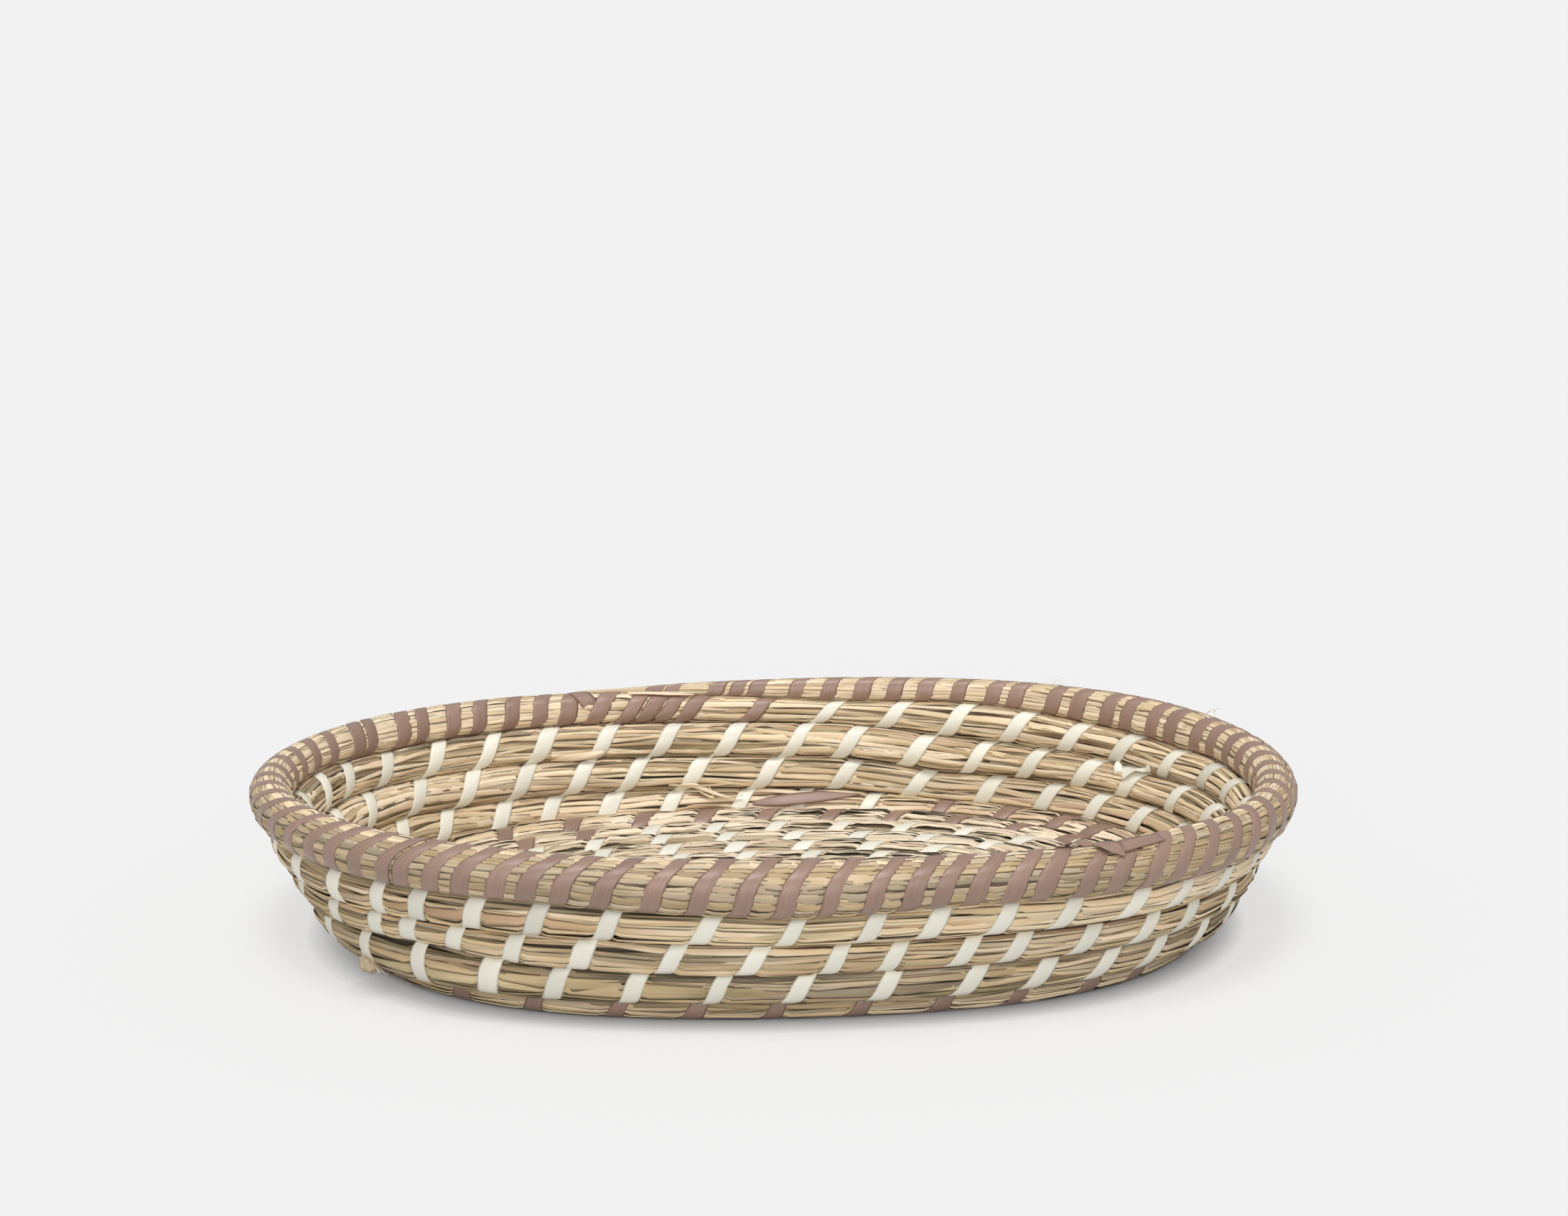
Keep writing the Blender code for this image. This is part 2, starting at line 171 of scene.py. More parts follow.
def wall_place(rows):
    """Places on the basket's surface at all angles, a number of rows past the base row."""
    inside = np.minimum(rows, 0)
    back = floor_pitch * inside + base_row_extra * np.maximum(inside, -1)
    floor = oval(angles, corner + back, base_stretch) - oval(angles, corner, base_stretch)
    run, rise = profile(np.maximum(rows, 0), lean)
    up = np.array([0, 0, 1]) * (floor_height + rise * scale)[:, None]
    return foot + floor + out * (run * scale)[:, None] + up


def row_edge(row):
    """The height of a row's upper edge at all angles, in rows past the base row."""
    degrees, edges = zip(*row_edges[row])
    return np.interp(np.degrees(angles), degrees, edges)


def row_place(row):
    """Where a row's centre is at all angles, in rows past the base row, and its size in rows."""
    if row < floor_rows:
        return row - floor_rows + climbed, np.ones(len(angles))
    upper = row_edge(row)
    if row > floor_rows:
        lower = row_edge(row - 1)
        return (upper + lower) / 2, upper - lower
    lower = climbed - 0.5
    share = smooth(climbed)
    return climbed + ((upper + lower) / 2 - climbed) * share, 1 + (upper - lower - 1) * share


core_height = base_centre + np.array([0, 0, floor_height])
core_end = base_stretch - core_fold_short
core = np.zeros((core_samples, 3))
core[:, 0] = np.linspace(core_tail_short - base_stretch, core_end, core_samples, endpoint=False)
fold_turn = np.linspace(-math.pi / 2, math.pi / 2, fold_samples)
fold = np.stack([np.cos(fold_turn), np.sin(fold_turn), 0 * fold_turn], axis=1) * floor_pitch / 2
fold = fold + np.array([core_end, floor_pitch / 2, 0])
path = [core_height + core, core_height + fold]
ups = [np.zeros((core_samples + fold_samples, 3))]
radii = [np.full(core_samples + fold_samples, floor_bundle_radius)]
heights = [np.full(core_samples, floor_pitch / 2), np.full(fold_samples, fold_height_share * floor_pitch)]
row_of = [np.full(core_samples + fold_samples, 0)]
degrees_of = [np.zeros(core_samples + fold_samples)]
for row in range(rim_row + 1):
    past, size = row_place(row)
    places = wall_place(past)
    above = wall_place(past + size / 2) - wall_place(past - size / 2)
    grown = smooth(past + 1)
    pitch = wall_pitch * (1 + (scale - 1) * smooth(past))
    thinned = (size * pitch - row_gap) / (wall_pitch - row_gap)
    whole = floor_bundle_radius + (bundle_radius - floor_bundle_radius) * grown
    keep = np.arange(len(angles)) < samples_per_row + (row == rim_row)
    if row == 0:
        keep &= (angles > 2 * math.pi) & (places[:, 0] < core_end - 2 * floor_bundle_radius)
    path.append(places[keep])
    ups.append(above[keep])
    radii.append(np.maximum(whole * thinned, least_radius)[keep])
    from_corner = np.abs(past - corner_overlap_row) / corner_overlap_reach
    overlap = row_overlap + corner_overlap * (1 - smooth(from_corner))
    heights.append(np.maximum(np.linalg.norm(above, axis=1) / 2 + overlap, least_radius)[keep])
    row_of.append(np.full(keep.sum(), row))
    degrees_of.append(np.degrees(angles)[keep])
path = np.concatenate(path)
ups = np.concatenate(ups)
radii = np.concatenate(radii)
heights = np.concatenate(heights)
row_of = np.concatenate(row_of)
degrees_of = np.concatenate(degrees_of)

along = np.concatenate([[0], np.cumsum(np.linalg.norm(np.diff(path, axis=0), axis=1))])
fine = np.arange(0, along[-1], 1 * mm)
blur = np.exp(-(np.arange(-blur_reach, blur_reach + 1) / blur_spread) ** 2)
blur = blur / blur.sum()


def eased(values):
    """Values along the coil, read off every millimetre and smoothed over a few."""
    read = np.interp(fine, along, values)
    padded = np.pad(read, blur_reach, mode="reflect", reflect_type="odd")
    return np.convolve(padded, blur, mode="valid")


centre_line = np.stack([eased(path[:, axis]) for axis in range(3)], axis=1)
ahead = unit(np.gradient(centre_line, axis=0))
flat = np.linalg.norm(ups, axis=1) < 1e-9
ups[flat] = np.array([0, -1, 0])
up_way = np.stack([eased(ups[:, axis]) for axis in range(3)], axis=1)
level = np.stack([ahead[:, 1], -ahead[:, 0], 0 * ahead[:, 0]], axis=1)
first_rows = np.interp(fine, along, row_of) < 0.5
up_way[first_rows] = level[first_rows]
outward = unit(np.cross(ahead, up_way))
up_way = unit(np.cross(outward, ahead))
bundle_size = eased(radii)
bundle_height = eased(heights)

# Past both ends the bundle runs on a little, and thins out
tail = np.arange(1, end_overrun / mm + 1) * mm
thin = np.linspace(1, end_size, len(tail))
centre_line = np.concatenate([
    centre_line[0] - ahead[0] * tail[::-1, None], centre_line, centre_line[-1] + ahead[-1] * tail[:, None]
])
up_way = np.pad(up_way, ((len(tail), len(tail)), (0, 0)), mode="edge")
outward = np.pad(outward, ((len(tail), len(tail)), (0, 0)), mode="edge")
bundle_size = np.concatenate([bundle_size[0] * thin[::-1], bundle_size, bundle_size[-1] * thin])
bundle_height = np.concatenate([bundle_height[0] * thin[::-1], bundle_height, bundle_height[-1] * thin])
fine = np.arange(len(centre_line)) * mm - end_overrun


def on_bundle(run, turn, off):
    """Places on the bundle: a distance along it, an angle round it (0 is outside, 90 up), an offset."""
    deep = bed_share * np.interp(run, fine, bundle_size) + off
    tall = np.interp(run, fine, bundle_height)
    tall = np.minimum(tall + off, tall + over_crown)
    side = np.sign(np.cos(turn)) * np.abs(np.cos(turn)) ** roundness
    rise = np.sign(np.sin(turn)) * np.abs(np.sin(turn)) ** roundness
    places = []
    for axis in range(3):
        centre = np.interp(run, fine, centre_line[:, axis])
        outside = np.interp(run, fine, outward[:, axis])
        up = np.interp(run, fine, up_way[:, axis])
        places.append(centre + outside * deep * side + up * tall * rise)
    return np.stack(places, axis=-1)


# The stitches. Each row is sewn to the one below with a flat strip, which is wound round the bundle up the
# outside, over the top and down the inside, leaning forward all the way. Where the photograph shows them,
# they stand at these degrees round the oval; the others are evenly apart.

floor_stitch_gap = 25 * mm
floor_leans = (11 * mm, 12 * mm, 0)
rim_leans = (16 * mm, 9 * mm, 0.65)
rim_set_back = 0.9 * mm
wall_lean = 23 * mm
stitch_degrees = {
    8: (108.8, 119.9, 133.1, 148.0, 163.8, 179.8, 195.8, 211.5, 226.8, 239.2, 250.2, 259.0, 267.2, 275.5,
        284.2, 293.5, 305.2, 314.5, 331.0, 347.0, 363.1, 378.9, 394.3, 402.6, 413.6, 424.6, 434.5, 442.4,
        448.5, 455.9, 462.6),
    9: (110.1, 117.5, 127.7, 138.4, 150.2, 162.4, 174.8, 187.2, 199.5, 213.5, 226.2, 237.5, 246.2, 254.8,
        262.8, 270.0, 277.8, 286.2, 294.5, 303.8, 313.2, 325.2, 337.8, 350.5, 363.3, 376.0, 388.5, 399.2,
        409.2, 419.6, 429.2, 437.9, 445.9, 453.1, 459.4),
    10: (105.5, 112.8, 121.4, 131.4, 144.7, 156.9, 169.3, 181.7, 194.2, 208.2, 219.2, 225.8, 233.8, 242.0,
         250.0, 258.8, 266.0, 273.0, 278.0, 284.8, 290.2, 299.0, 308.5, 316.8, 329.1, 341.9, 354.8, 367.7,
         380.5, 393.5, 403.0, 413.3, 421.9, 430.1, 437.8, 443.1, 449.7, 455.9, 462.3),
    11: (109.2, 116.7, 125.4, 135.8, 146.5, 155.6, 167.2, 179.0, 190.7, 202.3, 213.8, 223.2, 230.0, 238.2,
         245.8, 253.2, 262.0, 269.2, 275.8, 281.2, 287.8, 295.0, 304.2, 312.5, 322.3, 332.6, 343.1, 353.7,
         364.4, 374.1, 385.7, 397.1, 407.5, 417.0, 425.6, 433.3, 440.1, 447.0, 453.2, 455.2, 456.9, 458.8,
         462.1),
    12: (105.5, 108.8, 112.2, 116.7, 120.5, 125.9, 129.5, 136.2, 139.8, 146.7, 152.6, 158.6, 164.6, 170.7,
         176.8, 182.8, 188.9, 195.0, 201.0, 207.0, 213.0, 217.7, 222.9, 227.6, 230.6, 234.9, 238.8, 243.0,
         246.4, 249.8, 253.7, 258.1, 262.1, 265.6, 269.0, 272.5, 275.9, 279.1, 281.6, 284.7, 288.2, 291.3,
         296.0, 299.8, 304.8, 308.7, 313.5, 318.7, 324.1, 329.7, 335.3, 341.0, 346.7, 352.4, 358.2, 363.9,
         369.7, 375.4, 380.2, 387.3, 391.9, 397.8, 401.8, 407.9, 412.1, 418.0, 421.3, 425.9, 429.9, 433.5,
         436.9, 440.1, 443.3, 446.9, 448.8, 450.8, 454.7, 456.4),
}
stitch_runs = []
stitch_rows = []
for row in range(rim_row + 1):
    own = row_of == row
    if row < floor_rows:
        first, last = along[own][0], along[own][-1]
        count = max(int(round((last - first) / floor_stitch_gap)), 1)
        runs = first + (last - first) * (np.arange(count) + 0.5) / count
    else:
        runs = np.interp(stitch_degrees[row], degrees_of[own], along[own])
    stitch_runs.extend(runs)
    stitch_rows.extend([row] * len(runs))
stitch_runs = np.array(stitch_runs)
stitch_rows = np.array(stitch_rows)
bundle_end = along[-1]

# How far a stitch of a wall row moves on up the outside, in millimetres, at these degrees round the oval
wall_leans = ((180, 11), (200, 3), (225, 4), (270, 9), (315, 13), (345, 13), (360, 11))


def lean_of(row, degrees):
    """How far a stitch moves on up the outside and down the inside, and its bend over the top."""
    if row == rim_row:
        return rim_leans
    if row < floor_rows:
        return floor_leans
    outside = np.interp(degrees % 360, *zip(*wall_leans)) * mm
    return outside, wall_lean - outside, 0


def leaning(turn, outside, inside, bend):
    """How far along the bundle a stitch has moved when it is at this angle round it."""
    over = turn - math.pi / 2
    back = bend * np.sin(2 * turn) / 2
    rising = outside * (turn - back) / math.pi
    falling = outside / 2 + inside * (over - back) / math.pi
    return np.where(over < 0, rising, falling) - rim_set_back * (bend > 0)


# The grass. Every bundle is a few dozen folded leaves, straw with green, tan and pinkish ones, laid side by
# side. They are drawn in under each stitch and puff up between two, where they cross and change places.

outer_leaves = 31
under_leaves = 11
leaf_count = outer_leaves + under_leaves
station_gap = 3.3 * mm
near_stations = np.array([0, 1.9, 3.8, 5.4]) * mm
leaf_width = 1.85 * mm
under_leaf_width = 4.8 * mm
under_leaf_depth = 0.9 * mm
under_phase = 0.3
leaf_depth = 1.0 * mm
stitch_pinch = 0.76 * mm
pinch_flat = 3.0 * mm
pinch_slope = 2.2 * mm
puff = 0.2 * mm
core_lead = 14 * mm
near_share = 0.42
across = np.array([-1, -0.42, 0.42, 1])
across_v = np.array([0, 0.29, 0.71, 1, 1.2])
grass_seed = 41
stitch_hold = 0.8
outer_crease = 0.03 * mm
inner_crease = 0.10 * mm
crease_tilt = 0.8
crease_painted_light = 0.08
camber_middle = 0.35
least_camber = 0.2
bound_flat = 0.5
leaf_floor = 0.8 * mm
heart_floor = 1.6 * mm
heart_sides = 12
heart_depth = 1.75 * mm
# The heart's dark tone is painted shade, the shade deep inside the bundle
heart_painted_shade_tone = (0.3, -3.2, 0.5, 1.0)

# Each trait of a leaf: how much it strays, and how much of it the leaf keeps from one stitch to the next
drift_spread, drift_hold = math.radians(7), 0.62
width_spread, width_hold = 0.34, 0.6
lift_spread, lift_hold = 0.27 * mm, 0.5
leaf_camber, camber_spread, camber_hold = 0.27 * mm, 0.5, 0.6
tilt_spread, tilt_hold = 0.26 * mm, 0.6
fold_spread, fold_hold = 0.12 * mm, 0.5
hue_hold = 0.88
light_hold = 0.78

# The rim's leaves are straighter, tighter and more alike than the others, and the floor's are looser
rim_straight = 0.45
rim_pinch = 0.6
rim_even = 0.5
rim_loose = 0.5
floor_loose = 1.5

# The outside of each row from the last floor row to the rim has its own painted light and shade, lighter or
# darker as the light falls on it, and one row has brown leaves
painted_light_rows = (7, 8, 9, 10, 11, 12)
painted_row_light = (0, 0.5, -2.0, -0.4, 1.3, -1.8)
brown_row = 11
brown_degrees = (192, 202, 250, 262)
brown_dark = 2.0
brown_hue = 0.5
hue_share = 0.85
inner_hue = 0.2
inner_painted_paleness = 0.4
under_painted_shade = 1.5
painted_crevice_shade = 1.1
painted_crevice_from = 0.5
brown_eases_painted_crevice = 0.5
hue_shift = 0.05
seed_step = 37
blotch_scale = (1.3, 0.12, 1)
grass_random = np.random.default_rng(grass_seed)

nodes = np.concatenate([[-core_lead], stitch_runs, [bundle_end]])
node_rows = np.concatenate([[0], stitch_rows, [rim_row]])
node_spread = np.diff(nodes)
node_index = np.arange(len(nodes))


def wandering(spread, hold, shape):
    """Random numbers for every leaf at every stitch, each one near the one before."""
    fresh = grass_random.normal(0, 1, shape)
    values = np.empty(shape)
    values[0] = fresh[0]
    for index in range(1, shape[0]):
        kept = hold ** (node_spread[index - 1] / floor_stitch_gap)
        values[index] = kept * values[index - 1] + math.sqrt(1 - kept * kept) * fresh[index]
    return values * spread


leaf_shape = (len(nodes), leaf_count)
is_outer = np.arange(leaf_count) < outer_leaves
leaf_turn = np.concatenate([
    np.arange(outer_leaves) * 2 * math.pi / outer_leaves,
    (np.arange(under_leaves) + under_phase) * 2 * math.pi / under_leaves,
]) - math.pi / 2
drift = wandering(drift_spread, drift_hold, leaf_shape)
widths = np.where(is_outer, leaf_width, under_leaf_width)
widths = widths * np.exp(wandering(width_spread, width_hold, leaf_shape))
lifts = wandering(lift_spread, lift_hold, leaf_shape) - np.where(is_outer, 0, under_leaf_depth)
cambers = leaf_camber * np.exp(wandering(camber_spread, camber_hold, leaf_shape))
tilts = wandering(tilt_spread, tilt_hold, leaf_shape)
folds = wandering(fold_spread, fold_hold, leaf_shape)
hues = wandering(1.0, hue_hold, leaf_shape)
lights = wandering(1.0, light_hold, leaf_shape)

stations = []
for index, length in enumerate(node_spread):
    near = near_stations[near_stations < near_share * length]
    spare = length - 2 * near[-1]
    parts = max(int(round(spare / station_gap)), 1)
    middle = near[-1] + spare * np.arange(1, parts) / parts
    offsets = np.concatenate([near, middle, length - near[:0:-1]])
    stations.extend(index + offsets / length)
stations.append(len(nodes) - 1)
stations = np.array(stations)
creases = grass_random.normal(0, 1, (len(stations), leaf_count))
creases = (creases + np.roll(creases, 1, axis=0)) / math.sqrt(2)
crease_lift = grass_random.normal(0, 1, (len(stations), leaf_count))
node_degrees = np.interp(nodes, along, degrees_of)
row_leans = np.array([lean_of(row, degrees) for row, degrees in zip(node_rows, node_degrees)])
on_rim = node_rows == rim_row
node_straight = np.where(on_rim, rim_straight, 1.0)
node_pinch = np.where(on_rim, rim_pinch, 1.0)
node_even = np.where(on_rim, rim_even, 1.0)
node_loose = np.where(on_rim, rim_loose, np.where(node_rows < floor_rows, floor_loose, 1.0))
node_brown = (node_rows == brown_row) * np.interp(node_degrees % 360, brown_degrees, (0, 1, 1, 0))


def at_nodes(values, places):
    """Values between the stitches, in a straight line from one to the next."""
    return np.interp(places, node_index, values)[:, None]


def at_stations(values, places):
    """Leaf values between the stitches, changing smoothly from one stitch to the next."""
    index = np.clip(places.astype(int), 0, len(nodes) - 2)
    share = smooth(places - index)[:, None]
    return values[index] * (1 - share) + values[index + 1] * share


def leaf_points(chosen, places, run, turn, inner):
    """The rings of points of every leaf: its cambered face with a fold in it, and its hidden back."""
    size = np.interp(run, fine, bundle_size) / bundle_radius
    half_angle = at_stations(widths, places) / 2 / bundle_radius
    nearest = np.round(places)
    gap = np.interp(places, node_index[:-1] + 0.5, node_spread)
    distance = (np.abs(places - nearest) * gap)[:, None]
    ends = (nearest == 0) | (nearest == len(nodes) - 1)
    bound = np.where(ends[:, None], 0, 1 - smooth((distance - pinch_flat) / pinch_slope))
    free = (1 - stitch_hold * bound) * at_nodes(node_loose, places)
    deep = stitch_pinch * at_nodes(node_pinch, places)
    rough = (outer_crease + inner_crease * inner) * free
    lift = at_stations(lifts, places) * free - deep * bound + puff + creases[chosen] * rough
    camber = at_stations(cambers, places) * (1 - bound_flat * bound) * np.minimum(free + least_camber, 1)
    tilt = at_stations(tilts, places) * free + crease_lift[chosen] * rough * crease_tilt
    fold = at_stations(folds, places) * free
    ring = []
    for share in across:
        folded = fold * (abs(share) < 0.5) * share
        off = lift + camber * (camber_middle - share * share) + tilt * share + folded
        ring.append(on_bundle(run, turn + half_angle * share, off * size))
    ring.append(on_bundle(run, turn, (lift - leaf_depth) * size))
    points = np.stack(ring, axis=2)
    points[..., 2] = np.maximum(points[..., 2], leaf_floor)
    return points


def leaf_tones(chosen, places, turn, inner):
    """The leaves' hue, light, seed and paleness, which their material reads; the light carries painted
    light and shade, the paleness painted light.
    """
    row = at_nodes(node_rows, places)
    even = at_nodes(node_even, places)
    brown = at_nodes(node_brown, places) * (1 - inner)
    hue = hue_share * at_stations(hues, places) * even + inner_hue * inner - hue_shift + brown_hue * brown
    # The leaves' own light tone, with painted light and shade on the creases: lighter where a crease lifts
    # the leaf, darker where it sinks
    light = at_stations(lights, places) * even + creases[chosen] * crease_painted_light
    # Painted shade: the under leaves, lying beneath the outer ones, are darker
    light = light - np.where(is_outer, 0, under_painted_shade)
    # Painted light and shade on the outside, row by row; the brown leaves are darker in their own colour
    light = light + (np.interp(row, painted_light_rows, painted_row_light) - brown_dark * brown) * (1 - inner)
    # Painted shade: leaves facing the crevices between rows are darker, below every row and above all but
    # the rim, less so on the brown leaves
    below = smooth((-np.sin(turn) - painted_crevice_from) / (1 - painted_crevice_from))
    above = smooth((np.sin(turn) - painted_crevice_from) / (1 - painted_crevice_from)) * (row < rim_row - 0.5)
    light = light - painted_crevice_shade * (below + above) * (1 - brown_eases_painted_crevice * brown)
    seed = np.broadcast_to(np.arange(leaf_count) / leaf_count, hue.shape)
    # Painted light: the floor rows and the inner side of the wall rows are paler, where more light falls
    painted_paleness = np.where(row < floor_rows - 0.5, 1.0, inner_painted_paleness * inner)
    return np.stack([hue, light, seed, painted_paleness], axis=-1)


def heart_points(base_run):
    """The rings of points of the dark heart, which shows between the leaves; its darkness is painted shade.
    """
    turn = np.arange(heart_sides) * 2 * math.pi / heart_sides
    sunk = heart_depth * np.interp(base_run, fine, bundle_size)[:, None] / bundle_radius
    points = on_bundle(base_run[:, None] + 0 * turn, turn + 0 * base_run[:, None], -sunk)
    points[..., 2] = np.maximum(points[..., 2], heart_floor)
    return points


def ring_corners(values):
    """For values at every point of a row of rings, those at the corners of the faces between the rings."""
    following = np.roll(values, -1, axis=-1)
    return np.stack([values[:-1], values[1:], following[1:], following[:-1]], axis=-1)


def leaf_piece(name, points, faces, corner_uv, tones, finish):
    """A piece from its points and faces, with its own lengthwise UV map and its tones."""
    mesh = bpy.data.meshes.new(name)
    mesh.from_pydata(points.tolist(), [], faces)
    uv = mesh.uv_layers.new(name="leaf")
    uv.data.foreach_set("uv", corner_uv.ravel())
    colours = mesh.color_attributes.new(name="tone", type="FLOAT_COLOR", domain="POINT")
    colours.data.foreach_set("color", tones.ravel())
    mesh.shade_smooth()
    mesh.materials.append(finish)
    piece = bpy.data.objects.new(name, mesh)
    bpy.context.collection.objects.link(piece)
    return piece


def leaf_mesh(name, first, last, finish):
    """The leaves of the bundle from one stitch to another, and the heart between them, dark with painted
    shade.
    """
    chosen = (stations >= first) & (stations <= last)
    places = stations[chosen]
    base_run = np.interp(places, node_index, nodes)
    outside, inside, bend = [at_nodes(row_leans[:, part], places) for part in range(3)]
    turn = leaf_turn + at_stations(drift, places) * at_nodes(node_straight, places)
    run = base_run[:, None] + leaning(turn, outside, inside, bend)
    inner = smooth(0.5 - np.cos(turn))
    points = leaf_points(chosen, places, run, turn, inner)
    heart = heart_points(base_run)
    steps, leaves, ring = points.shape[:3]
    index = np.arange(steps * leaves * ring).reshape(steps, leaves, ring)
    heart_index = index.size + np.arange(steps * heart_sides).reshape(steps, heart_sides)
    quads = np.concatenate([ring_corners(each).reshape(-1, 4) for each in (index, heart_index)])
    ends = index[0].tolist() + index[-1, :, ::-1].tolist()
    ends += [heart_index[0][::-1].tolist(), heart_index[-1].tolist()]
    corner_u = np.stack([run[:-1], run[1:], run[1:], run[:-1]], axis=-1)
    corner_u = np.repeat(corner_u[:, :, None, :], ring, axis=2)
    far_v = np.append(across_v[1:], 1)
    corner_v = np.broadcast_to(np.stack([across_v, across_v, far_v, far_v], axis=-1), corner_u.shape)
    corner_uv = np.zeros((quads.size + sum(len(end) for end in ends), 2))
    corner_uv[: corner_u.size] = np.stack([corner_u.ravel(), corner_v.ravel()], axis=1)
    tones = np.full((index.size + heart_index.size, 4), heart_painted_shade_tone)
    leaf_tone = leaf_tones(chosen, places, turn, inner)
    tones[: index.size] = np.repeat(leaf_tone[:, :, None, :], ring, axis=2).reshape(-1, 4)
    verts = np.concatenate([points.reshape(-1, 3), heart.reshape(-1, 3)])
    return leaf_piece(name, verts, quads.tolist() + ends, corner_uv, tones, finish)


def number(tree, operation, *values, clamp=False):
    """A Math node; what isn't a socket is a plain number."""
    node = tree.nodes.new("ShaderNodeMath")
    node.operation = operation
    node.use_clamp = clamp
    for slot, value in zip(node.inputs, values):
        if isinstance(value, (int, float)):
            slot.default_value = value
        else:
            tree.links.new(value, slot)
    return node.outputs[0]


def blend(tree, mode, factor, first, second):
    """A colour Mix node; what isn't a socket is a plain number or colour."""
    node = tree.nodes.new("ShaderNodeMix")
    node.data_type = "RGBA"
    node.blend_type = mode
    for slot, value in ((node.inputs[0], factor), (node.inputs[6], first), (node.inputs[7], second)):
        if isinstance(value, (int, float)):
            slot.default_value = value
        elif isinstance(value, tuple):
            slot.default_value = (*value, 1)
        else:
            tree.links.new(value, slot)
    return node.outputs[2]


def ramp(tree, factor, stops):
    """A Color Ramp node with these places and colours."""
    node = tree.nodes.new("ShaderNodeValToRGB")
    bar = node.color_ramp
    while len(bar.elements) < len(stops):
        bar.elements.new(0.5)
    for element, (place, colour) in zip(bar.elements, stops):
        element.position = place
        element.color = (*colour, 1)
    tree.links.new(factor, node.inputs[0])
    return node.outputs[0]


def fibre_group():
    """Fine lines along a leaf or strip, from its own UV map: streaks and broader blotches."""
    group = bpy.data.node_groups.new("lengthwise_fibres", "ShaderNodeTree")
    for label in ("Along scale", "Across scale", "Seed"):
        group.interface.new_socket(label, in_out="INPUT", socket_type="NodeSocketFloat")
    group.interface.new_socket("Vector", in_out="INPUT", socket_type="NodeSocketVector")
    for label in ("Streak", "Blotch"):
        group.interface.new_socket(label, in_out="OUTPUT", socket_type="NodeSocketFloat")
    given = group.nodes.new("NodeGroupInput").outputs
    result = group.nodes.new("NodeGroupOutput").inputs
    split = group.nodes.new("ShaderNodeSeparateXYZ")
    group.links.new(given["Vector"], split.inputs[0])
    join = group.nodes.new("ShaderNodeCombineXYZ")
    group.links.new(number(group, "MULTIPLY", split.outputs[0], given["Along scale"]), join.inputs[0])
    group.links.new(number(group, "MULTIPLY", split.outputs[1], given["Across scale"]), join.inputs[1])
    group.links.new(number(group, "MULTIPLY", given["Seed"], seed_step), join.inputs[2])
    broader = group.nodes.new("ShaderNodeVectorMath")
    broader.operation = "MULTIPLY"
    broader.inputs[1].default_value = blotch_scale
    group.links.new(join.outputs[0], broader.inputs[0])
    streak = group.nodes.new("ShaderNodeTexNoise")
    streak.inputs["Scale"].default_value = 1
    streak.inputs["Detail"].default_value = 4
    streak.inputs["Roughness"].default_value = 0.65
    group.links.new(join.outputs[0], streak.inputs["Vector"])
    blotch = group.nodes.new("ShaderNodeTexNoise")
    blotch.inputs["Scale"].default_value = 1
    blotch.inputs["Detail"].default_value = 3
    group.links.new(broader.outputs[0], blotch.inputs["Vector"])
    group.links.new(streak.outputs["Fac"], result["Streak"])
    group.links.new(blotch.outputs["Fac"], result["Blotch"])
    return group


fibres = fibre_group()


def leaf_finish(name, along_scale, across_scale):
    """A new material of dry leaf, with its tones, the distance from a leaf's middle, and its fine lines."""
    finish = bpy.data.materials.new(name)
    finish.use_nodes = True
    tree = finish.node_tree
    tone = tree.nodes.new("ShaderNodeAttribute")
    tone.attribute_name = "tone"
    tones = tree.nodes.new("ShaderNodeSeparateColor")
    tree.links.new(tone.outputs["Color"], tones.inputs[0])
    uv = tree.nodes.new("ShaderNodeUVMap")
    uv.uv_map = "leaf"
    split = tree.nodes.new("ShaderNodeSeparateXYZ")
    tree.links.new(uv.outputs[0], split.inputs[0])
    side = number(tree, "ABSOLUTE", number(tree, "SUBTRACT", split.outputs[1], 0.5))
    lines = tree.nodes.new("ShaderNodeGroup")
    lines.node_tree = fibres
    lines.inputs["Along scale"].default_value = along_scale
    lines.inputs["Across scale"].default_value = across_scale
    tree.links.new(tones.outputs[2], lines.inputs["Seed"])
    tree.links.new(uv.outputs[0], lines.inputs["Vector"])
    return finish, tone, tones, side, lines


def leaf_shader(finish, colour, light, lines, rough_rise, least_rough, specular, relief, relief_depth):
    """Set the surface: the colour in its light, the gloss and the relief of the fine lines."""
    tree = finish.node_tree
    shader = tree.nodes["Principled BSDF"]
    grey = tree.nodes.new("ShaderNodeCombineColor")
    for slot in grey.inputs:
        tree.links.new(light, slot)
    tree.links.new(blend(tree, "MULTIPLY", 1.0, colour, grey.outputs[0]), shader.inputs["Base Color"])
    rough = number(tree, "MULTIPLY_ADD", lines.outputs["Streak"], rough_rise, least_rough)
    tree.links.new(rough, shader.inputs["Roughness"])
    shader.inputs["Specular IOR Level"].default_value = specular
    bump = tree.nodes.new("ShaderNodeBump")
    bump.inputs["Strength"].default_value = relief
    bump.inputs["Distance"].default_value = relief_depth
    tree.links.new(lines.outputs["Streak"], bump.inputs["Height"])
    tree.links.new(bump.outputs[0], shader.inputs["Normal"])


